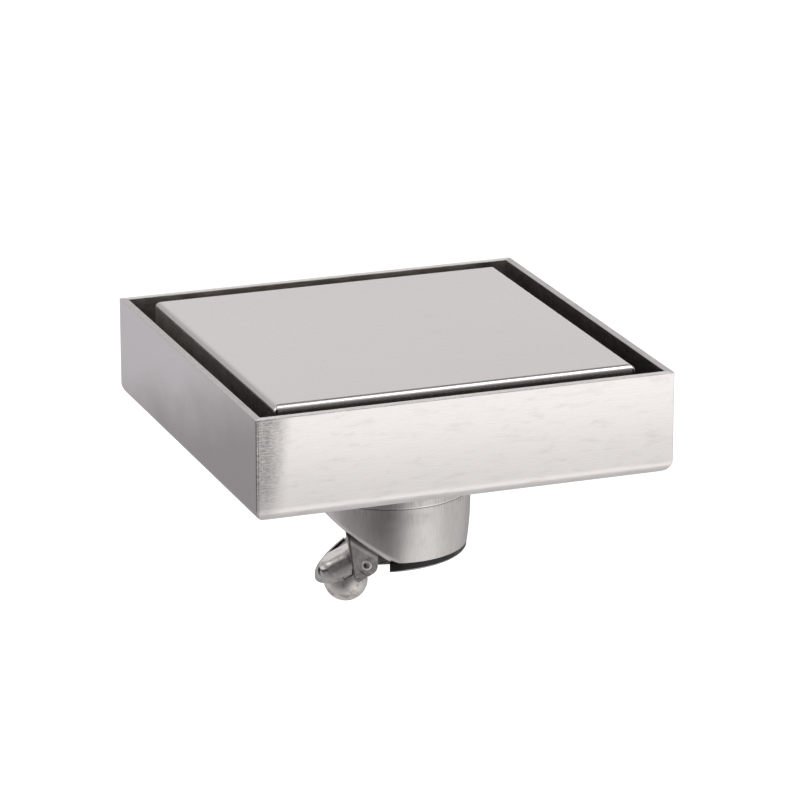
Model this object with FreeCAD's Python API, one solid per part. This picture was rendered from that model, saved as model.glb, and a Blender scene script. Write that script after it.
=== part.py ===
import FreeCAD, Part
import math
import os

# Square floor drain for a tiled shower floor: a folded stainless tray with a lift-off cover,
# a round outlet with a slant-cut cup below it, and a weighted flap that shuts the outlet.
#
# Frame: millimetres, +Z up. The origin is on the outlet's axis, in the plane of the tray's
# underside. X runs along the tray's front side, Y towards its back. The cup, its bracket and
# the flap are turned together about Z, so they are made in their own "core" axes first:
# there x points across the hinge, towards the flap, and y runs along the hinge.

# ---- Tray ----
tray_side = 110.0
tray_height = 26.6
tray_sheet = 2.0
tray_bend_r = 3.65
tray_corner_r = 0.45
rim_edge_r = 0.2

# ---- Outlet stub and cup ----
outlet_r = 20.75
stub_wall = 1.0
stub_bottom_z = -13.5
neck_r = 20.25
root_relief_r = 22.5
root_relief = 0.3
weld_leg = 1.0
seam_depth = 0.4
seam_height = 0.5
cup_wall = 0.9
cup_taper_top_z = -16.0
cup_taper_arc_r = 92.0
cup_bottom_z = -28.3
facet_slope = 0.64
facet_round = 2.2

# ---- Core axes ----
core_turn = -20.6
pivot_x = -5.9
pivot_z = -29.65

# ---- Bracket ----
bracket_sheet = 0.9
ear_inner_y = 16.4
ear_left_x = -11.3
ear_right_x = -3.05
ear_bend_r = 2.0
ear_heel = (-3.05, -31.3)
ear_heel_r = 2.6
ear_tip = (-8.7, -34.85)
ear_tip_r = 0.9
ear_jig_hole = (-8.2, -33.1)
ear_jig_hole_r = 0.45
stop_tab_slits = [((-7.5, -31.3), (-5.9, -32.5)), ((-5.65, -31.4), (-5.65, -33.3))]
slit_width = 0.22
slit_depth = 0.5

# ---- Hinge rivets and washers ----
rivet_bore_r = 0.75
rivet_shank_r = 1.0
rivet_head_r = 1.3
rivet_head = 0.4
rivet_head_round = 0.25
rivet_tail_y = 14.15
hinge_clearance = 0.05
washer_r = 2.1
washer_sheet = 0.6

# ---- Flap lever ----
lever_sheet = 0.4
lever_r = 19.5
lever_bend_drop = 0.95
plate_rise = 2.6
pan_fall = 29.8
tongue_half = 13.6
notch_half = 14.0
notch_x = (-8.4, -3.4)
lug_outer_y = 15.6
lug_sheet = 0.6
lug_r = 2.2
lug_arm_x = -9.7
lug_trim_x = -12.0
lug_arm_height = 1.3
rim_width = 0.9
rim_height = 0.45
rim_start_x = -12.0

# ---- Seal, its rivets, and the weight ----
seal_r = 19.8
seal_gap = 0.05
seal_rivet_places = [(3.5, -10.5), (3.5, 10.5), (13.5, 0.0)]
seal_rivet_shank_r = 0.7
seal_rivet_head_r = 1.5
seal_rivet_head = 0.4
seal_rivet_slack = 0.15
weight_r = 5.75
weight_x = -11.5
weight_z = -39.6
weight_neck_r = 2.2
weight_neck_below = 3.0
weight_neck_above = 1.5
saddle_near = 2.2
saddle_far = 13.6
saddle_width = 8.8
saddle_height = 2.4
saddle_end_r = 4.0
saddle_top_r = 1.6

# ---- Cover ----
cover_side = 95.4
cover_sheet = 1.0
cover_proud = 0.5
cover_flange = 10.0
cover_bend_r = 1.75
cover_corner_r = 0.7
relief_inset = 0.5
relief_width = 0.5
relief_depth = 0.6
relief_top = 0.9
foot_offset = 36.0
foot_r = 4.0
foot_flange_r = 7.0
foot_flange = 1.0
foot_end_round = 0.6
pad_r = 5.5
pad_height = 5.0
pad_floor = 2.0
pad_round = 0.5
rest_gap = 0.05

# ---- Hair strainer ----
strainer_sheet = 0.8
strainer_flange_r = 25.0
strainer_basket_r = 18.8
strainer_bottom_z = -9.5
strainer_bend_r = 2.0
strainer_hole_r = 1.4
strainer_hole_rings = [(0.0, 1), (4.6, 6), (9.2, 12), (13.8, 18)]
strainer_slots = 12
strainer_slot = (2.2, 5.0)
strainer_slot_rise = 3.5
strainer_slot_round = 1.05
handle_wire_r = 0.8
handle_half_span = 21.5
handle_rise = 8.0
handle_foot_rise = 0.5
handle_shoulder_r = 3.0

OVERSIZE = 80.0

Z_AXIS = FreeCAD.Vector(0, 0, 1)
Y_AXIS = FreeCAD.Vector(0, 1, 0)


def vec(x, y, z):
    return FreeCAD.Vector(x, y, z)


def box(x, y, z):
    """A box from three (low, high) pairs."""
    return Part.makeBox(x[1] - x[0], y[1] - y[0], z[1] - z[0], vec(x[0], y[0], z[0]))


def rod(radius, z_low, z_high, x=0.0, y=0.0):
    """An upright cylinder."""
    return Part.makeCylinder(radius, z_high - z_low, vec(x, y, z_low))


def ring(r_in, r_out, z_low, z_high, x=0.0, y=0.0):
    return rod(r_out, z_low, z_high, x, y).cut(rod(r_in, z_low - 1, z_high + 1, x, y))


def cross_rod(radius, x, z, y_low, y_high):
    """A cylinder along the hinge direction, y."""
    return Part.makeCylinder(radius, y_high - y_low, vec(x, y_low, z), Y_AXIS)


def rounded_outline(corners):
    """A closed wire in the xz plane from (x, z, radius) corners, with tangent arcs."""
    points = [vec(x, 0, z) for x, z, _ in corners]
    edges = []
    ends = []
    for i, (_, _, radius) in enumerate(corners):
        here = points[i]
        to_last = (points[i - 1] - here).normalize()
        to_next = (points[(i + 1) % len(points)] - here).normalize()
        half_angle = to_last.getAngle(to_next) / 2
        inset = radius / math.tan(half_angle)
        start = here + to_last * inset
        end = here + to_next * inset
        ends.append((start, end))
        if radius > 0:
            middle_line = (to_last + to_next).normalize()
            middle = here + middle_line * (radius / math.sin(half_angle) - radius)
            edges.append(Part.Arc(start, middle, end).toShape())
    for i, (_, end) in enumerate(ends):
        following = ends[(i + 1) % len(ends)][0]
        edges.append(Part.LineSegment(end, following).toShape())
    return Part.Wire(Part.__sortEdges__(edges))


def plate_along_y(corners, y_low, y_high):
    """An outline in the xz plane, made solid between two values of y."""
    face = Part.Face(rounded_outline(corners))
    plate = face.extrude(vec(0, y_high - y_low, 0))
    plate.translate(vec(0, y_low, 0))
    return plate


def round_edges(shape, radius, wanted):
    """Fillet every edge that the test function picks."""
    return shape.makeFillet(radius, [e for e in shape.Edges if wanted(e)])


def upright(edge):
    low = edge.BoundBox
    return low.ZLength > 1 and low.XLength < 0.01 and low.YLength < 0.01


def mirrored_pair(shape):
    """The shape and its mirror image across the core's xz plane, as two solids."""
    return shape, shape.mirror(vec(0, 0, 0), Y_AXIS)


def folded_box(half, z_low, z_high, bend_low, bend_high):
    """A square block with rounded bottom or top edges that meet in mitred corners."""

    def rounded_bar():
        return plate_along_y(
            [
                (-half, z_low, bend_low),
                (half, z_low, bend_low),
                (half, z_high, bend_high),
                (-half, z_high, bend_high),
            ],
            -half,
            half,
        )

    across = rounded_bar()
    across.rotate(vec(0, 0, 0), Z_AXIS, 90)
    return rounded_bar().common(across)


# ---- Tray, outlet stub and cup ----


def drain_tray():
    half = tray_side / 2
    inner_bend = tray_bend_r - tray_sheet
    outer = folded_box(half, 0, tray_height, tray_bend_r, 0)
    outer = round_edges(outer, tray_corner_r, upright)
    inner = folded_box(half - tray_sheet, tray_sheet, tray_height + 5, inner_bend, 0)
    tray = outer.cut(inner).cut(rod(neck_r, -5, tray_sheet + 5))
    tray = tray.cut(rod(root_relief_r, -1, root_relief))
    tray = round_edges(tray, rim_edge_r, lambda e: e.BoundBox.ZMin > tray_height - 0.01)
    return tray.cut(outlet_weld())


def outlet_stub():
    """The outlet's tube, necked in where it passes through the tray's floor."""
    bore_r = outlet_r - stub_wall
    tube = ring(bore_r, outlet_r, stub_bottom_z, 0)
    neck = ring(bore_r, neck_r, 0, tray_sheet)
    return tube.fuse(neck).removeSplitter().cut(seam_weld())


def outlet_weld():
    """The triangular weld that joins the stub to the tray's floor, ground flush on top."""
    corners = [
        (neck_r, tray_sheet, 0),
        (neck_r + weld_leg, tray_sheet, 0),
        (neck_r, tray_sheet - weld_leg, 0),
    ]
    return Part.Face(rounded_outline(corners)).revolve(vec(0, 0, 0), Z_AXIS, 360)


def seam_weld():
    """The ring weld between the stub and the cup, ground flush with both."""
    low = stub_bottom_z - seam_height / 2
    return ring(outlet_r - seam_depth, outlet_r, low, low + seam_height)


def cup_radius(z):
    """The cup's outer radius: straight at the top, then drawn in along a long arc."""
    drop = max(0.0, cup_taper_top_z - z)
    return outlet_r - cup_taper_arc_r + math.sqrt(cup_taper_arc_r**2 - drop**2)


def cup_form(offset):
    """The cup's solid form, moved inwards by an offset from its outside."""
    middle_z = (cup_taper_top_z + cup_bottom_z) / 2
    wall = [vec(-(cup_radius(z) - offset), 0, z) for z in (cup_taper_top_z, middle_z, cup_bottom_z)]
    edges = [
        Part.LineSegment(vec(0, 0, stub_bottom_z), vec(-(outlet_r - offset), 0, stub_bottom_z)),
        Part.LineSegment(vec(-(outlet_r - offset), 0, stub_bottom_z), wall[0]),
        Part.Arc(*wall),
        Part.LineSegment(wall[2], vec(0, 0, cup_bottom_z)),
        Part.LineSegment(vec(0, 0, cup_bottom_z), vec(0, 0, stub_bottom_z)),
    ]
    half_section = Part.Face(Part.Wire([e.toShape() for e in edges]))
    form = half_section.revolve(vec(0, 0, 0), Z_AXIS, 360)
    facet_lift = offset * math.hypot(1, facet_slope)
    facet_foot = facet_lift / facet_slope
    below_facet = plate_along_y(
        [
            (facet_foot, cup_bottom_z, 0),
            (facet_foot - OVERSIZE, cup_bottom_z + OVERSIZE * facet_slope, 0),
            (facet_foot - OVERSIZE, cup_bottom_z - OVERSIZE, 0),
            (facet_foot, cup_bottom_z - OVERSIZE, 0),
        ],
        -OVERSIZE,
        OVERSIZE,
    )
    form = form.cut(below_facet)
    rim = next(e for e in form.Edges if is_facet_rim(e))
    return form.makeFillet(facet_round - offset, [rim])


def is_facet_rim(edge):
    """One curved edge between the facet and the wall; a fillet runs on along its neighbours."""
    bounds = edge.BoundBox
    return min(bounds.XLength, bounds.YLength, bounds.ZLength) > 5


def outlet_cup():
    return cup_form(0).cut(cup_form(cup_wall)).cut(seam_weld())


def facet_z(x):
    return cup_bottom_z - facet_slope * x


# ---- Hinge bracket, rivets and washers ----


def hinge_bracket():
    outer_y = ear_inner_y + bracket_sheet
    drop = bracket_sheet * math.hypot(1, facet_slope)
    outline = [
        (ear_left_x, facet_z(ear_left_x), 0),
        (ear_right_x, facet_z(ear_right_x), 0),
        (ear_heel[0], ear_heel[1], ear_heel_r),
        (ear_tip[0], ear_tip[1], ear_tip_r),
    ]
    block = plate_along_y(outline, -outer_y, outer_y)
    between = plate_along_y(
        [
            (ear_left_x - OVERSIZE, facet_z(ear_left_x - OVERSIZE) - drop, 0),
            (ear_right_x + OVERSIZE, facet_z(ear_right_x + OVERSIZE) - drop, 0),
            (ear_right_x + OVERSIZE, -OVERSIZE * 2, 0),
            (ear_left_x - OVERSIZE, -OVERSIZE * 2, 0),
        ],
        -ear_inner_y,
        ear_inner_y,
    )
    bracket = block.cut(between)

    def outer_bend(edge):
        bounds = edge.BoundBox
        along_facet = abs(bounds.ZLength - facet_slope * bounds.XLength) < 0.02
        on_outside = abs(abs(edge.CenterOfMass.y) - outer_y) < 0.01
        return along_facet and on_outside and bounds.YLength < 0.01 and bounds.XLength > 5

    bracket = round_edges(bracket, ear_bend_r, outer_bend)
    holes = cross_rod(rivet_shank_r, pivot_x, pivot_z, -OVERSIZE, OVERSIZE)
    jig = cross_rod(ear_jig_hole_r, ear_jig_hole[0], ear_jig_hole[1], -OVERSIZE, OVERSIZE)
    bracket = bracket.cut(holes).cut(jig)
    for start, end in stop_tab_slits:
        for groove in mirrored_pair(back_slit(start, end)):
            bracket = bracket.cut(groove)
    return bracket


def back_slit(start, end):
    """A thin straight cut into the back ear's outer face, between two (x, z) points; two of them mark a tab."""
    length = math.dist(start, end)
    floor_y = ear_inner_y + bracket_sheet - slit_depth
    blade = box((0, length), (floor_y, OVERSIZE), (-slit_width / 2, slit_width / 2))
    fall = math.degrees(math.atan2(start[1] - end[1], end[0] - start[0]))
    blade.rotate(vec(0, 0, 0), Y_AXIS, fall)
    blade.translate(vec(start[0], 0, start[1]))
    return blade


def back_rivet():
    """A hollow rivet through the back ear: head outside, rolled collar inside the lever."""
    ear_outer_y = ear_inner_y + bracket_sheet
    head_y = ear_outer_y + rivet_head
    rivet = cross_rod(rivet_shank_r, pivot_x, pivot_z, rivet_tail_y, head_y)
    rivet = rivet.fuse(cross_rod(rivet_head_r, pivot_x, pivot_z, ear_outer_y, head_y))
    collar = cross_rod(rivet_head_r, pivot_x, pivot_z, rivet_tail_y, rivet_tail_y + rivet_head)
    rivet = rivet.fuse(collar).removeSplitter()

    def end_rim(edge):
        return edge.Closed and edge.BoundBox.YLength < 0.01 and near_end(edge.BoundBox.YMin)

    def near_end(y):
        return min(abs(y - rivet_tail_y), abs(y - head_y)) < 0.01

    rivet = round_edges(rivet, rivet_head_round, end_rim)
    return rivet.cut(cross_rod(rivet_bore_r, pivot_x, pivot_z, 0, OVERSIZE))


def back_washer():
    middle = (lug_outer_y + ear_inner_y) / 2
    span = (middle - washer_sheet / 2, middle + washer_sheet / 2)
    disc = cross_rod(washer_r, pivot_x, pivot_z, *span)
    return disc.cut(cross_rod(rivet_shank_r, pivot_x, pivot_z, 0, OVERSIZE))


# ---- Flap lever, seal and weight ----

bend_z = pivot_z - lever_bend_drop


def plate_top_z(x):
    """The height of the flap plate's top face."""
    return bend_z + (x - pivot_x) * math.tan(math.radians(plate_rise))


def pan_top_z(x):
    """The height of the pan's top face."""
    return bend_z + (x - pivot_x) * math.tan(math.radians(pan_fall))


def bent_sheet(thickness_up, thickness_down, x_low, x_high):
    """A band of the lever's bent profile, wide enough to be trimmed to its outline."""
    pan_step = math.hypot(1, math.tan(math.radians(pan_fall)))
    plate_step = math.hypot(1, math.tan(math.radians(plate_rise)))
    top = [(x, pan_top_z(x) + thickness_up * pan_step) for x in (x_low, min(x_high, pivot_x))]
    under = [(x, pan_top_z(x) - thickness_down * pan_step) for x in (min(x_high, pivot_x), x_low)]
    if x_high > pivot_x:
        top.append((x_high, plate_top_z(x_high) + thickness_up * plate_step))
        under.insert(0, (x_high, plate_top_z(x_high) - thickness_down * plate_step))
    return plate_along_y([(x, z, 0) for x, z in top + under], -OVERSIZE, OVERSIZE)


def flap_lever():
    outline = rod(lever_r, -OVERSIZE, 0)
    for side in (-1, 1):
        for x_range, half_width in (
            ((lug_trim_x, notch_x[0]), lug_outer_y),
            (notch_x, notch_half),
            ((notch_x[1], 0.0), tongue_half),
        ):
            y_range = sorted((side * half_width, side * OVERSIZE))
            outline = outline.cut(box(x_range, y_range, (-OVERSIZE, 0)))
    sheet = bent_sheet(0, lever_sheet, -OVERSIZE / 2, OVERSIZE / 2).common(outline)
    rim_band = ring(lever_r - rim_width, lever_r, -OVERSIZE, 0)
    rim = bent_sheet(rim_height, lever_sheet, -OVERSIZE / 2, rim_start_x).common(rim_band)
    lever = sheet.fuse(rim)
    for lug in mirrored_pair(back_lug()):
        lever = lever.fuse(lug)
    return lever.cut(weight_neck()).removeSplitter()


def back_lug():
    """The upright side of the lever that carries the hinge rivet."""
    span = (lug_outer_y - lug_sheet, lug_outer_y)
    arm = bent_sheet(lug_arm_height, lever_sheet, lug_arm_x, pivot_x)
    arm = arm.common(box((-OVERSIZE, OVERSIZE), span, (-OVERSIZE, 0)))
    eye = cross_rod(lug_r, pivot_x, pivot_z, *span)
    hole = cross_rod(rivet_shank_r + hinge_clearance, pivot_x, pivot_z, 0, OVERSIZE)
    return eye.fuse(arm).cut(hole)


def flap_seal():
    """The rubber pad on the flap: flat on top, its underside following the rising plate."""
    top_z = cup_bottom_z - seal_gap
    wedge = plate_along_y(
        [
            (0, top_z, 0),
            (OVERSIZE, top_z, 0),
            (OVERSIZE, plate_top_z(OVERSIZE) - OVERSIZE, 0),
            (0, plate_top_z(OVERSIZE) - OVERSIZE, 0),
        ],
        -OVERSIZE,
        OVERSIZE,
    )
    pad = wedge.common(rod(seal_r, -OVERSIZE, 0))
    above_plate = bent_sheet(OVERSIZE, 0, pivot_x - 1, OVERSIZE)
    pad = pad.common(above_plate)
    return pad.cut(seal_rivets(seal_rivet_shank_r))


def seal_rivets(head_r):
    """The rivets that hold the seal on the flap plate; with a plain radius, only their shanks."""
    solids = []
    top_z = cup_bottom_z - seal_gap
    for x, y in seal_rivet_places:
        under_z = plate_top_z(x) - lever_sheet - seal_rivet_slack
        rivet = rod(seal_rivet_shank_r, under_z, top_z + seal_rivet_head, x, y)
        rivet = rivet.fuse(rod(head_r, top_z, top_z + seal_rivet_head, x, y))
        rivet = rivet.fuse(rod(head_r, under_z - seal_rivet_head, under_z, x, y))
        solids.append(rivet.removeSplitter())
    return Part.makeCompound(solids)


def on_pan(shape, x):
    """Carry a shape from flat axes onto the pan's top face at x, its z becoming the normal."""
    shape.rotate(vec(0, 0, 0), Y_AXIS, -pan_fall)
    shape.translate(vec(x, 0, pan_top_z(x)))
    return shape


def weight_axis_x():
    """Where the normal from the weight's centre meets the pan's top face."""
    slope = math.tan(math.radians(pan_fall))
    height = (pan_top_z(weight_x) - weight_z) / (1 + slope**2)
    return weight_x - height * slope


def weight_neck():
    return on_pan(rod(weight_neck_r, -weight_neck_below, weight_neck_above), weight_axis_x())


def counterweight():
    ball = Part.makeSphere(weight_r, vec(weight_x, 0, weight_z))
    below_pan = bent_sheet(-lever_sheet, OVERSIZE, -OVERSIZE, pivot_x + 10)
    return ball.common(below_pan).fuse(weight_neck()).removeSplitter()


def weight_saddle():
    """The oblong cap on the pan that the weight's neck is riveted into."""
    half = saddle_width / 2
    length = saddle_far - saddle_near
    cap = box((-length, 0), (-half, half), (0, saddle_height))
    cap = round_edges(cap, saddle_end_r, upright)
    cap = round_edges(cap, saddle_top_r, lambda e: e.BoundBox.ZMin > saddle_height - 0.01)
    fall = math.radians(pan_fall)
    cap = on_pan(cap, pivot_x - saddle_near * math.cos(fall))
    return cap.cut(weight_neck())


# ---- Cover, feet and pads ----


def cover_plate():
    half = cover_side / 2
    top_z = tray_height + cover_proud
    low_z = top_z - cover_flange
    outer = folded_box(half, low_z, top_z, 0, cover_bend_r)
    outer = round_edges(outer, cover_corner_r, upright)
    inner_half = half - cover_sheet
    inner = folded_box(inner_half, low_z - 5, top_z - cover_sheet, 0, cover_bend_r - cover_sheet)
    cover = outer.cut(inner)
    slot_x = half - relief_inset
    for x_side in (-1, 1):
        for y_side in (-1, 1):
            x_range = sorted((x_side * slot_x, x_side * (slot_x - relief_width)))
            y_range = sorted((y_side * (half + 1), y_side * (inner_half - relief_depth)))
            cover = cover.cut(box(x_range, y_range, (low_z - 1, top_z - relief_top)))
    return cover


def cover_foot(x, y):
    """A post under the cover, with a flange that is spot welded to the cover's underside."""
    top_z = tray_height + cover_proud - cover_sheet
    bottom_z = tray_sheet + rest_gap + pad_floor
    post = rod(foot_r, bottom_z, top_z, x, y)
    post = round_edges(post, foot_end_round, lambda e: e.BoundBox.ZMax < bottom_z + 0.01 and e.Closed)
    return post.fuse(rod(foot_flange_r, top_z - foot_flange, top_z, x, y)).removeSplitter()


def foot_pad(x, y):
    """A rubber cap on the end of a foot; it stands on the tray's floor."""
    bottom_z = tray_sheet + rest_gap
    cap = rod(pad_r, bottom_z, bottom_z + pad_height, x, y)
    cap = round_edges(cap, pad_round, lambda e: e.Closed and e.BoundBox.ZLength < 0.01)
    return cap.cut(cover_foot(x, y))


# ---- Hair strainer ----


def round_foot(shape, z, radius):
    """Fillet the round edge at the bottom of an upright cylinder."""
    return round_edges(shape, radius, lambda e: e.Closed and e.BoundBox.ZMax < z + 0.01)


def hair_strainer():
    top_z = tray_sheet + rest_gap + strainer_sheet
    flange = ring(strainer_basket_r, strainer_flange_r, top_z - strainer_sheet, top_z)
    outside = rod(strainer_basket_r, strainer_bottom_z, top_z)
    inner_r = strainer_basket_r - strainer_sheet
    inside = rod(inner_r, strainer_bottom_z + strainer_sheet, top_z + 1)
    outside = round_foot(outside, strainer_bottom_z, strainer_bend_r)
    inner_bend = strainer_bend_r - strainer_sheet
    inside = round_foot(inside, strainer_bottom_z + strainer_sheet, inner_bend)
    basket = flange.fuse(outside).cut(inside)
    holes = []
    for radius, count in strainer_hole_rings:
        for i in range(count):
            angle = 2 * math.pi * i / count
            x = radius * math.cos(angle)
            y = radius * math.sin(angle)
            holes.append(rod(strainer_hole_r, strainer_bottom_z - 1, strainer_bottom_z + 1, x, y))
    slot_width, slot_height = strainer_slot
    slot_low = strainer_bottom_z + strainer_slot_rise
    for i in range(strainer_slots):
        slot = box(
            (inner_r - 1, strainer_basket_r + 1),
            (-slot_width / 2, slot_width / 2),
            (slot_low, slot_low + slot_height),
        )
        slot = round_edges(slot, strainer_slot_round, lambda e: e.BoundBox.XLength > 1)
        slot.rotate(vec(0, 0, 0), Z_AXIS, 360 * (i + 0.5) / strainer_slots)
        holes.append(slot)
    basket = basket.cut(Part.makeCompound(holes))
    for side in (-1, 1):
        basket = basket.cut(rod(handle_wire_r, -5, 5, side * handle_half_span, 0))
    return basket.removeSplitter()


def strainer_handle():
    """The wire loop that lifts the strainer; its ends pass through the strainer's flange."""
    foot_z = tray_sheet + rest_gap
    spring_z = foot_z + strainer_sheet + handle_foot_rise
    left_half = [
        vec(-handle_half_span, 0, foot_z),
        vec(-handle_half_span, 0, spring_z),
        vec(-handle_half_span / 2, 0, spring_z + handle_rise),
    ]
    right_half = [vec(-point.x, 0, point.z) for point in reversed(left_half)]
    path = round_path(left_half + right_half, handle_shoulder_r)
    section = Part.Wire(Part.makeCircle(handle_wire_r, left_half[0], Z_AXIS))
    return path.makePipeShell([section], True, False)


def round_path(points, radius):
    """Straight runs through the points, joined by tangent arcs."""
    edges = []
    last = points[0]
    for before, here, after in zip(points, points[1:], points[2:]):
        to_last = (before - here).normalize()
        to_next = (after - here).normalize()
        half_angle = to_last.getAngle(to_next) / 2
        run = min((before - here).Length, (after - here).Length) * 0.45
        inset = min(radius / math.tan(half_angle), run)
        arc_r = inset * math.tan(half_angle)
        start = here + to_last * inset
        end = here + to_next * inset
        middle_line = (to_last + to_next).normalize()
        middle = here + middle_line * (arc_r / math.sin(half_angle) - arc_r)
        edges.append(Part.LineSegment(last, start).toShape())
        edges.append(Part.Arc(start, middle, end).toShape())
        last = end
    edges.append(Part.LineSegment(last, points[-1]).toShape())
    return Part.Wire(edges)


# ---- Export ----


def turned(shape):
    """Turn a piece from the core's axes into the drain's."""
    piece = shape.copy()
    piece.rotate(vec(0, 0, 0), Z_AXIS, core_turn)
    return piece


def main():
    os.makedirs("parts", exist_ok=True)
    back_rivet_shape, front_rivet_shape = mirrored_pair(back_rivet())
    back_washer_shape, front_washer_shape = mirrored_pair(back_washer())
    nodes = {
        "drain_tray": drain_tray(),
        "outlet_stub": outlet_stub(),
        "outlet_weld": outlet_weld(),
        "seam_weld": seam_weld(),
        "outlet_cup": turned(outlet_cup()),
        "hinge_bracket": turned(hinge_bracket()),
        "hinge_rivet_front": turned(front_rivet_shape),
        "hinge_rivet_back": turned(back_rivet_shape),
        "hinge_washer_front": turned(front_washer_shape),
        "hinge_washer_back": turned(back_washer_shape),
        "flap_lever": turned(flap_lever().cut(seal_rivets(seal_rivet_shank_r))),
        "flap_seal": turned(flap_seal()),
        "seal_rivets": turned(seal_rivets(seal_rivet_head_r)),
        "counterweight": turned(counterweight()),
        "weight_saddle": turned(weight_saddle()),
        "cover_plate": cover_plate(),
        "hair_strainer": hair_strainer(),
        "strainer_handle": strainer_handle(),
    }
    for y_side, row in ((-1, "front"), (1, "back")):
        for x_side, column in ((-1, "left"), (1, "right")):
            place = (x_side * foot_offset, y_side * foot_offset)
            nodes[f"cover_foot_{row}_{column}"] = cover_foot(*place)
            nodes[f"foot_pad_{row}_{column}"] = foot_pad(*place)
    for name, shape in nodes.items():
        shape.exportStep(f"parts/{name}.step")
        print(f"{name:24s} {len(shape.Solids)} solid(s) {shape.Volume:10.2f} mm3 valid {shape.isValid()}")


main()
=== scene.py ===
import math

import bpy
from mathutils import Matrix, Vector


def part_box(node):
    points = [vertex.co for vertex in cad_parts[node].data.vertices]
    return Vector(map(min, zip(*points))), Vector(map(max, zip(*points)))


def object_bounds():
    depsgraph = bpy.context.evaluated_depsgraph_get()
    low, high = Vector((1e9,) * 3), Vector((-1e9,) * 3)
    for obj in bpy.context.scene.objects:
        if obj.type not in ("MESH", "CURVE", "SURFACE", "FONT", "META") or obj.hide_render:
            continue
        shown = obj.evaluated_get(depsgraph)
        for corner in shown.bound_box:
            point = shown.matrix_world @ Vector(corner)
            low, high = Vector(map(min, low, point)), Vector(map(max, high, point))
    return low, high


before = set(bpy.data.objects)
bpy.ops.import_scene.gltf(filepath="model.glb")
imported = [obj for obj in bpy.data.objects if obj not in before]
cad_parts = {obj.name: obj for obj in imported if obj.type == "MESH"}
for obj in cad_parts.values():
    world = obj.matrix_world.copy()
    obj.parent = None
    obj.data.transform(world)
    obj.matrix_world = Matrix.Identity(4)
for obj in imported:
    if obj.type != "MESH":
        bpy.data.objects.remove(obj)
cad_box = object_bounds()
scene = bpy.context.scene

# Lengths are in metres. "Core" axes are the cup's and flap's own: x across the hinge, y along it.
MM = 0.001
CORE_TURN = math.radians(-20.6)

_, tray_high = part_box("drain_tray")
_, cover_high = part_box("cover_plate")
seam_low, seam_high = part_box("seam_weld")
TRAY_HALF = tray_high.x
TRAY_TOP = tray_high.z
TRAY_INSIDE = TRAY_HALF - 2 * MM
COVER_HALF = cover_high.x
COVER_TOP = cover_high.z
SEAM_BOTTOM = seam_low.z
SEAM_TOP = seam_high.z

# The tray's corner joint, measured in from the corner.
CORNER_JOINT = 0.75 * MM

# The corner between the flap pan's floor and its raised rim.
PAN_CREASE_RADIUS = 18.45 * MM

# The hinge's axis, in core x and z.
PIVOT = (-5.9 * MM, -29.65 * MM)

# The line down the bracket's outer edge, in core x and z: a point on it, the way across the sheet
# from it, and how far it lies from the origin that way. A painted shade line, as in a crease, runs
# beside it.
EDGE_POINT = (-11.3 * MM, -21.07 * MM)
EDGE_INWARD = (0.9925, 0.1224)
EDGE_OFFSET = EDGE_POINT[0] * EDGE_INWARD[0] + EDGE_POINT[1] * EDGE_INWARD[1]
EDGE_CREASE = 0.75 * MM


def compass(azimuth, elevation):
    """A direction; azimuth 0 looks along +Y and grows towards +X, elevation is above the horizon."""
    turn = math.radians(azimuth)
    lift = math.radians(elevation)
    return Vector((math.sin(turn) * math.cos(lift), math.cos(turn) * math.cos(lift), math.sin(lift)))


# ---- Camera ----

# The camera's direction in degrees, its distance, and where the origin is in the view, right and up.
CAMERA_AZIMUTH = 200.57
CAMERA_ELEVATION = 17.91
CAMERA_DISTANCE = 1168.3 * MM
CAMERA_ASIDE = Vector((-2.6 * MM, -8.55 * MM))
CAMERA_LENS = 204.96
CAMERA_SENSOR = 36


def make_camera():
    back = compass(CAMERA_AZIMUTH, CAMERA_ELEVATION)
    right = Vector((0, 0, 1)).cross(back).normalized()
    up = back.cross(right)
    data = bpy.data.cameras.new("camera")
    data.lens = CAMERA_LENS
    data.sensor_width = CAMERA_SENSOR
    data.clip_start = 0.05
    data.clip_end = 30
    camera = bpy.data.objects.new("camera", data)
    scene.collection.objects.link(camera)
    camera.location = back * CAMERA_DISTANCE - right * CAMERA_ASIDE.x - up * CAMERA_ASIDE.y
    camera.rotation_mode = "QUATERNION"
    camera.rotation_quaternion = (-back).to_track_quat("-Z", "Y")
    scene.camera = camera


# ---- Node helpers ----


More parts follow.
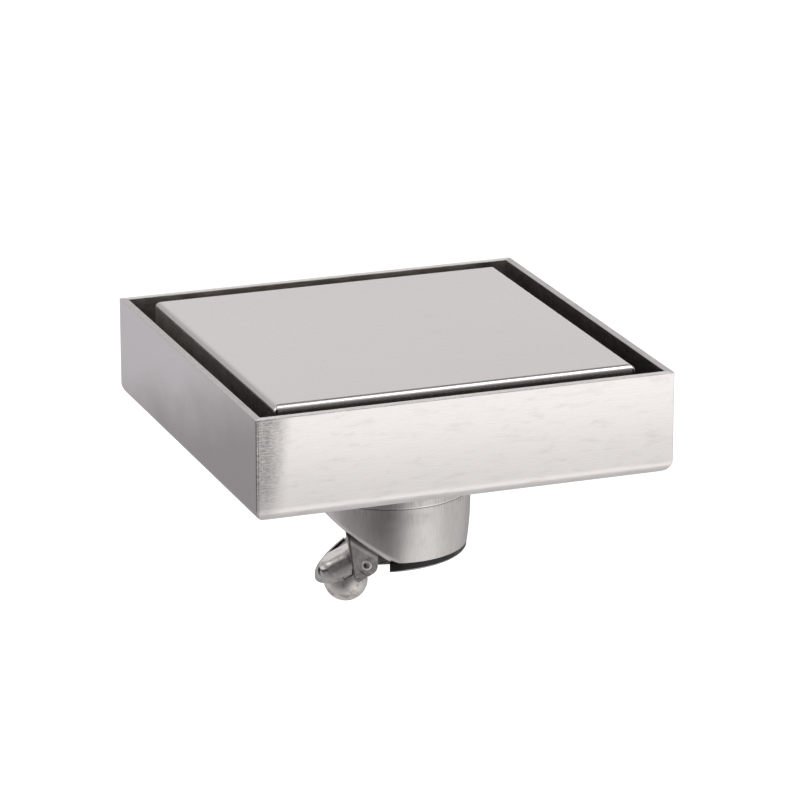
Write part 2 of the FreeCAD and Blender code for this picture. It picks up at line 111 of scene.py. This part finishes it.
class Nodes:
    """Adds shader nodes to a node tree and links them."""

    def __init__(self, tree):
        self.tree = tree
        self.bsdf = tree.nodes.get("Principled BSDF")

    def add(self, kind, **settings):
        node = self.tree.nodes.new(kind)
        for name, value in settings.items():
            setattr(node, name, value)
        return node

    def link(self, source, target):
        self.tree.links.new(source, target)

    def feed(self, socket, value):
        """Set a socket to a number or a colour, or link another socket to it."""
        if isinstance(value, (int, float)):
            socket.default_value = value
        elif isinstance(value, tuple):
            socket.default_value = (*value, 1.0) if len(socket.default_value) == 4 else value
        else:
            self.link(value, socket)

    def place(self):
        """X, Y and Z of the point, in metres, in the drain's own frame."""
        split = self.add("ShaderNodeSeparateXYZ")
        self.link(self.add("ShaderNodeTexCoord").outputs["Object"], split.inputs["Vector"])
        return split.outputs

    def facing(self):
        """X, Y and Z of the surface's own direction."""
        split = self.add("ShaderNodeSeparateXYZ")
        self.link(self.add("ShaderNodeTexCoord").outputs["Normal"], split.inputs["Vector"])
        return split.outputs

    def coords(self, scale, turn=0.0):
        """Object coordinates, turned about Z and scaled, so that a grain can be stretched one way."""
        source = self.add("ShaderNodeTexCoord").outputs["Object"]
        turned = self.add("ShaderNodeMapping")
        turned.inputs["Rotation"].default_value = (0, 0, turn)
        stretched = self.add("ShaderNodeMapping")
        stretched.inputs["Scale"].default_value = scale
        self.link(source, turned.inputs["Vector"])
        self.link(turned.outputs["Vector"], stretched.inputs["Vector"])
        return stretched.outputs["Vector"]

    def noise(self, vector, detail=4.0, rough=0.6):
        node = self.add("ShaderNodeTexNoise")
        node.inputs["Scale"].default_value = 1.0
        node.inputs["Detail"].default_value = detail
        node.inputs["Roughness"].default_value = rough
        self.link(vector, node.inputs["Vector"])
        return node.outputs["Fac"]

    def remap(self, value, low, high, from_low=0.3, from_high=0.7):
        """A value's range, moved to another range with soft ends."""
        node = self.add("ShaderNodeMapRange", interpolation_type="SMOOTHSTEP")
        node.inputs["From Min"].default_value = from_low
        node.inputs["From Max"].default_value = from_high
        node.inputs["To Min"].default_value = low
        node.inputs["To Max"].default_value = high
        self.link(value, node.inputs["Value"])
        return node.outputs["Result"]

    def math(self, operation, a, b=0.0):
        node = self.add("ShaderNodeMath", operation=operation)
        self.feed(node.inputs[0], a)
        self.feed(node.inputs[1], b)
        return node.outputs["Value"]

    def product(self, *factors):
        total = factors[0]
        for factor in factors[1:]:
            total = self.math("MULTIPLY", total, factor)
        return total

    def mix(self, factor, a, b):
        """A number between two numbers."""
        part_a = self.product(a, self.math("SUBTRACT", 1.0, factor))
        return self.math("ADD", part_a, self.product(b, factor))

    def tint(self, factor, a, b):
        """A colour between two colours; inputs 6 and 7 and output 2 are the node's colour sockets."""
        node = self.add("ShaderNodeMix", data_type="RGBA")
        self.feed(node.inputs["Factor"], factor)
        self.feed(node.inputs[6], a)
        self.feed(node.inputs[7], b)
        return node.outputs[2]

    def dim(self, colour, amount):
        """A colour made darker or brighter by a number."""
        node = self.add("ShaderNodeVectorMath", operation="SCALE")
        self.feed(node.inputs["Vector"], colour)
        self.feed(node.inputs["Scale"], amount)
        return node.outputs["Vector"]

    def core_place(self):
        """X and Z of the point, in metres, in the cup's own turned axes."""
        x, y, z = self.place()
        part_x = self.product(x, math.cos(CORE_TURN))
        part_y = self.product(y, math.sin(CORE_TURN))
        return self.math("ADD", part_x, part_y), z

    def bump(self, height, strength, distance, below=None):
        """The surface's direction after a bump, on top of an earlier bump if there is one."""
        node = self.add("ShaderNodeBump")
        node.inputs["Strength"].default_value = strength
        node.inputs["Distance"].default_value = distance
        self.link(height, node.inputs["Height"])
        if below is not None:
            self.link(below, node.inputs["Normal"])
        return node.outputs["Normal"]


def new_material(name):
    material = bpy.data.materials.new(name)
    material.use_nodes = True
    return material, Nodes(material.node_tree)


# ---- Steel finishes ----


PALE_STEEL = (0.76, 0.735, 0.72)


def scaled(colour, factor):
    return tuple(c * factor for c in colour)


def wavy(n, size, strength):
    """The slow unevenness of thin sheet."""
    return n.bump(n.noise(n.coords((size, size, size)), detail=1, rough=0.4), strength, 0.6 * MM)


def clouds_and_painted_shade(n):
    """A cool, cloudy mill finish, with painted shade: darker low down and towards the front."""
    _, y, z = n.place()
    cloud = n.noise(n.coords((30, 30, 45)), detail=3)
    # Painted shade: the slope darkens the sides low down and towards the front; the cloud is the
    # finish's own.
    painted_shade_slope = n.math("ADD", n.product(y, -0.45 / TRAY_HALF), n.product(z, -0.75 / TRAY_TOP))
    painted_shade_slope = n.math("ADD", painted_shade_slope, n.product(cloud, 0.5))
    return n.tint(n.remap(painted_shade_slope, 0.0, 1.0, -0.5, 0.22), (0.69, 0.65, 0.685), (0.31, 0.278, 0.29))


def corner_weld(n, ragged):
    """Where the left front and right back corners are ground, and where their hair-line joint is."""
    x, y, z = n.place()
    across = n.math("ABSOLUTE", x)
    at_weld = n.math("GREATER_THAN", n.product(x, y), 0.0)
    reach = n.math("ADD", across, n.math("ADD", n.product(ragged, 4.0 * MM), n.product(z, 0.09)))
    patch = n.remap(reach, 0.0, 1.0, TRAY_HALF - 6.0 * MM, TRAY_HALF + 1.2 * MM)
    off_joint = n.math("ABSOLUTE", n.math("SUBTRACT", across, TRAY_HALF - CORNER_JOINT))
    joint = n.remap(off_joint, 0.7, 0.0, 0.05 * MM, 0.16 * MM)
    return n.product(patch, at_weld), n.product(joint, at_weld)


def tray_inside(n):
    """Where the tray's inner faces are, and their stained colour darkened as painted shade."""
    x, y, z = n.place()
    widest = n.math("MAXIMUM", n.math("ABSOLUTE", x), n.math("ABSOLUTE", y))
    inside = n.remap(widest, 1.0, 0.0, TRAY_INSIDE + 0.05 * MM, TRAY_INSIDE + 0.15 * MM)
    inside = n.product(inside, n.math("GREATER_THAN", z, 1 * MM))
    inside = n.product(inside, n.math("LESS_THAN", z, TRAY_TOP - 0.05 * MM))
    stain = n.noise(n.coords((150, 150, 320)), detail=5, rough=0.65)
    return inside, n.tint(n.remap(stain, 0, 1), (0.45, 0.43, 0.41), (0.68, 0.66, 0.64))


def tray_rim(n):
    """Where the rim's top is, and its painted light: darker at the sides, brighter at the front and
    back.
    """
    x, y, z = n.place()
    rim = n.math("GREATER_THAN", z, TRAY_TOP - 0.05 * MM)
    crosswise = n.math("GREATER_THAN", n.math("ABSOLUTE", y), n.math("ABSOLUTE", x))
    return rim, n.mix(crosswise, 0.8, 1.15)


def tray_steel():
    """Brushed sheet: cloudy on the sides, ground at two welded corners, with painted light and shade:
    brighter up high, darker low down and inside.
    """
    material, n = new_material("tray_steel")
    z = n.place()[2]
    _, face_y, face_z = n.facing()
    level = n.remap(n.math("ABSOLUTE", face_z), 0.0, 1.0, 0.6, 0.8)
    on_front = n.remap(n.math("ABSOLUTE", face_y), 0.0, 1.0, 0.6, 0.8)
    wall_grain = n.noise(n.coords((220, 220, 3400)), detail=5, rough=0.62)
    wall_streak = n.noise(n.coords((130, 130, 480)), detail=5, rough=0.68)
    level_grain = n.noise(n.coords((110, 3600, 3600)), detail=5, rough=0.62)
    grain = n.mix(level, wall_grain, level_grain)
    tone = n.tint(n.remap(grain, 0.0, 1.0), scaled(PALE_STEEL, 0.88), scaled(PALE_STEEL, 1.04))
    tone = n.tint(n.remap(wall_streak, 0.0, 0.9, 0.5, 0.7), tone, scaled(PALE_STEEL, 0.86))
    # Painted light and shade: brighter towards the top, darker low down.
    tone = n.dim(tone, n.remap(z, 0.9, 1.17, 2 * MM, TRAY_TOP))
    side = n.product(n.math("SUBTRACT", 1.0, level), n.math("SUBTRACT", 1.0, on_front))
    tone = n.tint(n.product(side, 0.9), tone, clouds_and_painted_shade(n))

    ragged = n.noise(n.coords((500, 500, 260)), detail=6, rough=0.75)
    patch, joint = corner_weld(n, ragged)
    patch = n.product(patch, on_front)
    scratch = n.remap(n.noise(n.coords((800, 800, 2600)), detail=4, rough=0.7), 0.42, 1.0, 0.36, 0.64)
    fading = n.remap(z, 0.35, 1.0, 1 * MM, 9 * MM)
    tone = n.tint(n.product(patch, scratch, fading), tone, scaled(PALE_STEEL, 0.4))
    tone = n.tint(n.product(joint, on_front), tone, (0.16, 0.13, 0.115))

    inside, stain_and_painted_shade = tray_inside(n)
    # Painted shade inside the tray, darker on the inner side walls than on the front and back, over
    # stains.
    tone = n.tint(inside, tone, n.dim(stain_and_painted_shade, n.mix(on_front, 0.62, 1.1)))
    rim, painted_rim_light = tray_rim(n)
    # Painted light on the rim's top, brighter at the front and back than at the sides.
    tone = n.dim(tone, n.mix(rim, 1.0, painted_rim_light))
    n.link(tone, n.bsdf.inputs["Base Color"])

    # The sheared rim and the ground corners are rougher than the brushed sheet.
    sheared = n.noise(n.coords((900, 900, 900)), detail=5, rough=0.7)
    rough = n.mix(rim, n.remap(grain, 0.27, 0.38), n.remap(sheared, 0.3, 0.5))
    n.link(n.mix(patch, rough, 0.42), n.bsdf.inputs["Roughness"])
    n.bsdf.inputs["Metallic"].default_value = 1.0
    relief = n.bump(grain, 0.16, 0.05 * MM, wavy(n, 20, 0.35))
    relief = n.bump(n.product(sheared, rim), 0.5, 0.1 * MM, relief)
    relief = n.bump(n.product(ragged, patch), 0.3, 0.12 * MM, relief)
    n.link(relief, n.bsdf.inputs["Normal"])
    return material


def cover_steel():
    """A very fine, even satin on top; the skirt and the underside are darker, with stains, as painted
    shade that lightens towards the back.
    """
    material, n = new_material("cover_steel")
    _, y, z = n.place()
    grain = n.noise(n.coords((160, 4200, 4200)), detail=4)
    cloud = n.noise(n.coords((16, 16, 16)), detail=2)
    even = (0.765, 0.738, 0.732)
    tone = n.tint(n.remap(grain, 0.0, 1.0), scaled(even, 0.985), even)
    tone = n.tint(n.remap(cloud, 0.0, 0.4), tone, scaled(even, 0.95))
    # Painted shade: the skirt and underside are darkened, less towards the back, over stains.
    skirt = n.remap(z, 1.0, 0.0, COVER_TOP - 1.5 * MM, COVER_TOP - 0.9 * MM)
    stain = n.noise(n.coords((260, 260, 260)), detail=5)
    stain_and_painted_shade = n.tint(n.remap(stain, 0, 1), (0.38, 0.34, 0.31), (0.49, 0.45, 0.42))
    stain_and_painted_shade = n.dim(stain_and_painted_shade, n.remap(y, 0.55, 1.4, -COVER_HALF, COVER_HALF))
    tone = n.tint(skirt, tone, stain_and_painted_shade)
    n.link(tone, n.bsdf.inputs["Base Color"])
    n.link(n.remap(grain, 0.24, 0.28), n.bsdf.inputs["Roughness"])
    n.link(n.mix(skirt, 1.0, 0.72), n.bsdf.inputs["Metallic"])
    n.link(n.bump(grain, 0.01, 0.03 * MM, wavy(n, 14, 0.1)), n.bsdf.inputs["Normal"])
    return material


def drawn_steel():
    """The outlet, cup and feet: satin, with upright scratches that are strongest under the seam."""
    material, n = new_material("drawn_steel")
    z = n.place()[2]
    grain = n.noise(n.coords((3400, 3400, 170)), detail=5, rough=0.65)
    patchy = n.noise(n.coords((160, 160, 300)), detail=4)
    below_seam = n.remap(z, 0.0, 1.0, SEAM_TOP - 6 * MM, SEAM_TOP - 1 * MM)
    marks = n.product(n.remap(grain, 1.0, 0.0, 0.36, 0.54), below_seam)
    marks = n.product(marks, n.remap(patchy, 0.0, 1.0, 0.4, 0.6))
    tone = n.tint(n.remap(grain, 0.0, 1.0), scaled(PALE_STEEL, 0.68), scaled(PALE_STEEL, 0.78))
    tone = n.tint(n.product(marks, 0.4), tone, (0.27, 0.25, 0.235))
    n.link(tone, n.bsdf.inputs["Base Color"])
    rough = n.math("ADD", n.remap(patchy, 0.36, 0.42), n.product(marks, 0.1))
    n.link(rough, n.bsdf.inputs["Roughness"])
    n.bsdf.inputs["Metallic"].default_value = 1.0
    n.link(n.bump(grain, 0.12, 0.04 * MM, wavy(n, 60, 0.12)), n.bsdf.inputs["Normal"])
    return material


def bright_steel(name, base=0.8, rough=(0.13, 0.24), stained=0.5, dents=0.3, detail=None):
    """Small stamped or turned parts: bright, a little dented, with brown stains in places."""
    material, n = new_material(name)
    stain = n.noise(n.coords((360, 360, 360)), detail=5, rough=0.65)
    scuff = n.noise(n.coords((1400, 500, 1400), 0.4), detail=5, rough=0.7)
    worn = scaled(PALE_STEEL, base * 0.85)
    tone = n.tint(n.remap(scuff, 0.0, 1.0, 0.35, 0.65), worn, scaled(PALE_STEEL, base))
    tone = n.tint(n.remap(stain, 0.0, stained, 0.5, 0.66), tone, (0.3, 0.25, 0.21))
    if detail:
        tone = detail(n, tone)
    n.link(tone, n.bsdf.inputs["Base Color"])
    n.link(n.remap(scuff, *rough), n.bsdf.inputs["Roughness"])
    n.bsdf.inputs["Metallic"].default_value = 1.0
    n.link(n.bump(scuff, 0.1, 0.05 * MM, wavy(n, 240, dents)), n.bsdf.inputs["Normal"])
    return material


def bracket_highlights_and_shade(n, tone):
    """Painted light on the bracket: a painted highlight down its outer side with a painted shade line
    beside it, and on the fold a painted highlight line and painted brown shade.
    """
    lift = n.facing()[2]
    # Painted highlight on the fold's lower edge, then painted brown shade on the fold.
    tone = n.tint(n.remap(lift, 0.0, 0.9, 0.03, 0.12), tone, scaled(PALE_STEEL, 1.25))
    tone = n.tint(n.remap(lift, 0.0, 0.8, 0.3, 0.5), tone, (0.24, 0.2, 0.17))
    x, z = n.core_place()
    # Painted highlight down the outer edge, then a painted shade line beside it.
    from_edge = n.math("ADD", n.product(x, EDGE_INWARD[0]), n.product(z, EDGE_INWARD[1]))
    from_edge = n.math("SUBTRACT", from_edge, EDGE_OFFSET)
    tone = n.tint(n.remap(from_edge, 1.0, 0.0, 0.35 * MM, 0.55 * MM), tone, scaled(PALE_STEEL, 1.1))
    off_crease = n.math("ABSOLUTE", n.math("SUBTRACT", from_edge, EDGE_CREASE))
    return n.tint(n.remap(off_crease, 0.85, 0.0, 0.1 * MM, 0.4 * MM), tone, (0.12, 0.11, 0.1))


def pan_crease_shade(n, tone):
    """Painted shade: a dark line in the corner between the pan's floor and its raised rim."""
    x, y, _ = n.place()
    radius = n.math("SQRT", n.math("ADD", n.product(x, x), n.product(y, y)))
    off_crease = n.math("ABSOLUTE", n.math("SUBTRACT", radius, PAN_CREASE_RADIUS))
    return n.tint(n.remap(off_crease, 0.8, 0.0, 0.1 * MM, 0.35 * MM), tone, (0.1, 0.09, 0.08))


def rivet_bore_shade(n, tone):
    """The rivet's bore is darkened as painted shade; the ring keeps the rivet's bright tone."""
    x, z = n.core_place()
    aside = n.math("SUBTRACT", x, PIVOT[0])
    above = n.math("SUBTRACT", z, PIVOT[1])
    from_axis = n.math("SQRT", n.math("ADD", n.product(aside, aside), n.product(above, above)))
    return n.tint(n.remap(from_axis, 1.0, 0.0, 0.72 * MM, 0.82 * MM), tone, (0.2, 0.18, 0.16))


def weld_metal():
    """The ground ring weld: coarse, mottled light and dark."""
    material, n = new_material("weld_metal")
    marks = n.noise(n.coords((700, 700, 700)), detail=5, rough=0.7)
    tone = n.tint(n.remap(marks, 0, 1), (0.5, 0.46, 0.42), (0.8, 0.78, 0.76))
    n.link(tone, n.bsdf.inputs["Base Color"])
    n.link(n.remap(marks, 0.25, 0.4), n.bsdf.inputs["Roughness"])
    n.bsdf.inputs["Metallic"].default_value = 1.0
    n.link(n.bump(marks, 0.3, 0.08 * MM), n.bsdf.inputs["Normal"])
    return material


def seam_steel():
    """The flush seam between stub and cup: a bright lip, a painted highlight, with a thin dark joint
    line below it in painted shadow.
    """
    material, n = new_material("seam_steel")
    z = n.place()[2]
    wander = n.noise(n.coords((260, 260, 0)), detail=3)
    height = n.math("ADD", z, n.product(wander, 0.16 * MM))
    middle = (SEAM_BOTTOM + SEAM_TOP) / 2 + 0.08 * MM
    # Painted highlight above the middle of the seam, painted shadow in the joint line below it.
    lip = n.remap(height, 0.0, 1.0, middle - 0.06 * MM, middle + 0.06 * MM)
    n.link(n.tint(lip, (0.24, 0.22, 0.2), PALE_STEEL), n.bsdf.inputs["Base Color"])
    n.link(n.remap(wander, 0.3, 0.4), n.bsdf.inputs["Roughness"])
    n.bsdf.inputs["Metallic"].default_value = 1.0
    n.link(n.bump(wander, 0.2, 0.04 * MM), n.bsdf.inputs["Normal"])
    return material


# ---- Rubber and plastic ----


def black_rubber():
    """Black moulded rubber, half gloss, with a fine pebble and dusty patches."""
    material, n = new_material("black_rubber")
    dust = n.noise(n.coords((300, 300, 300)), detail=5)
    tone = n.tint(n.remap(dust, 0, 1, 0.55, 0.8), (0.006, 0.006, 0.007), (0.03, 0.028, 0.027))
    n.link(tone, n.bsdf.inputs["Base Color"])
    n.bsdf.inputs["Specular IOR Level"].default_value = 0.3
    pebble = n.noise(n.coords((3000, 3000, 3000)), detail=3)
    n.link(n.remap(dust, 0.22, 0.42), n.bsdf.inputs["Roughness"])
    n.link(n.bump(pebble, 0.3, 0.05 * MM), n.bsdf.inputs["Normal"])
    return material


def washer_plastic():
    """Milky nylon, faintly clouded."""
    material, n = new_material("washer_plastic")
    cloud = n.noise(n.coords((500, 500, 500)), detail=4)
    tone = n.tint(n.remap(cloud, 0, 1), (0.6, 0.6, 0.57), (0.76, 0.76, 0.73))
    n.link(tone, n.bsdf.inputs["Base Color"])
    n.link(n.remap(cloud, 0.4, 0.55), n.bsdf.inputs["Roughness"])
    n.link(n.bump(cloud, 0.1, 0.04 * MM), n.bsdf.inputs["Normal"])
    return material


# ---- Finishes on the CAD nodes ----


def paint(material, *node_names):
    """Give CAD nodes their finish."""
    for name in node_names:
        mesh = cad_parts[name].data
        mesh.materials.clear()
        mesh.materials.append(material)


def dress():
    feet = [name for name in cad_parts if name.startswith("cover_foot")]
    pads = [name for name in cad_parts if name.startswith("foot_pad")]
    stamped = bright_steel("stamped_steel")
    # The saddle's and the rivets' copies of the stamped steel are brighter, and the lever's darker:
    # painted light and painted shade.
    saddle = bright_steel("saddle_steel", base=1.15, rough=(0.26, 0.36), stained=0.35, dents=0.15)
    lever = bright_steel("lever_steel", base=0.5, rough=(0.24, 0.4), stained=0.6, detail=pan_crease_shade)
    bracket = bright_steel("bracket_steel", base=0.9, rough=(0.36, 0.5), detail=bracket_highlights_and_shade)
    rivet = bright_steel("rivet_steel", base=1.25, rough=(0.38, 0.48), stained=0.0, detail=rivet_bore_shade)
    weight = bright_steel("weight_steel", base=0.84, rough=(0.4, 0.5), stained=0.75, dents=0.05)
    paint(tray_steel(), "drain_tray")
    paint(cover_steel(), "cover_plate")
    paint(drawn_steel(), "outlet_stub", "outlet_cup", *feet)
    paint(weld_metal(), "outlet_weld")
    paint(seam_steel(), "seam_weld")
    paint(stamped, "hair_strainer", "strainer_handle", "seal_rivets")
    paint(bracket, "hinge_bracket")
    paint(rivet, "hinge_rivet_front", "hinge_rivet_back")
    paint(washer_plastic(), "hinge_washer_front", "hinge_washer_back")
    paint(lever, "flap_lever")
    paint(saddle, "weight_saddle")
    paint(weight, "counterweight")
    paint(black_rubber(), "flap_seal", *pads)


# ---- Stage ----

# The studio seen in the steel: an even light, and areas that add to it or take from it.
BASE_LIGHT = 0.5
DARKEST = 0.03
STUDIO_AREAS = [
    # azimuth, elevation, inner and outer half width in degrees, strength added
    (150, -28, 14, 38, 0.84),
    (0, -90, 30, 65, 0.3),
    (112, 62, 12, 27, 0.56),
    (20, 14, 12, 34, 0.33),
    (28, 48, 10, 28, -0.35),
    (158, 20, 12, 34, -0.38),
    (-102, -14, 8, 28, -0.16),
    (-157, -14, 12, 46, -0.38),
    (92, -22, 12, 34, 0.36),
    (-56, -20, 8, 27, 0.42),
    (-92, 48, 14, 36, 1.0),
    (-22, -15, 10, 30, 0.12),
]
FLOOR_SIZE = 12
FLOOR_DROP = 0.25


def make_world():
    """The studio's light, as the background's strength in each direction, never below DARKEST."""
    world = bpy.data.worlds.new("studio")
    scene.world = world
    world.use_nodes = True
    n = Nodes(world.node_tree)
    looking = n.add("ShaderNodeTexCoord").outputs["Generated"]
    total = BASE_LIGHT
    for azimuth, elevation, inner, outer, strength in STUDIO_AREAS:
        towards = n.add("ShaderNodeVectorMath", operation="DOT_PRODUCT")
        n.link(looking, towards.inputs[0])
        towards.inputs[1].default_value = compass(azimuth, elevation)
        edge = math.cos(math.radians(outer))
        core = math.cos(math.radians(inner))
        total = n.math("ADD", total, n.remap(towards.outputs["Value"], 0.0, strength, edge, core))
    background = world.node_tree.nodes["Background"]
    n.link(n.math("MAXIMUM", total, DARKEST), background.inputs["Strength"])
    background.inputs["Color"].default_value = (1.0, 0.985, 0.982, 1)


def make_stage():
    """A pale floor some way below the drain, left out of what the steel reflects."""
    floor_height = cad_box[0].z - FLOOR_DROP
    bpy.ops.mesh.primitive_plane_add(size=FLOOR_SIZE, location=(0, 0, floor_height))
    floor = bpy.context.object
    floor.name = "floor"
    floor.visible_glossy = False
    material, n = new_material("pale_floor")
    shade = n.noise(n.coords((1.5, 1.5, 1.5)), detail=2)
    tone = n.tint(n.remap(shade, 0, 1), (0.93, 0.93, 0.93), (0.96, 0.96, 0.96))
    n.link(tone, n.bsdf.inputs["Base Color"])
    n.bsdf.inputs["Roughness"].default_value = 0.9
    n.bsdf.inputs["Emission Color"].default_value = (1, 1, 1, 1)
    n.bsdf.inputs["Emission Strength"].default_value = 0.55
    floor.data.materials.append(material)
    scene.view_settings.view_transform = "Standard"


def soft_light(name, place, size, power):
    """A rectangular light that points at the origin."""
    data = bpy.data.lights.new(name, "AREA")
    data.shape = "RECTANGLE"
    data.size, data.size_y = size
    data.energy = power
    light = bpy.data.objects.new(name, data)
    scene.collection.objects.link(light)
    light.location = place
    light.rotation_mode = "QUATERNION"
    light.rotation_quaternion = (-Vector(place)).to_track_quat("-Z", "Y")


make_camera()
make_stage()
make_world()
dress()
soft_light("key", place=(0.7, -0.28, 1.4), size=(0.5, 0.5), power=3)
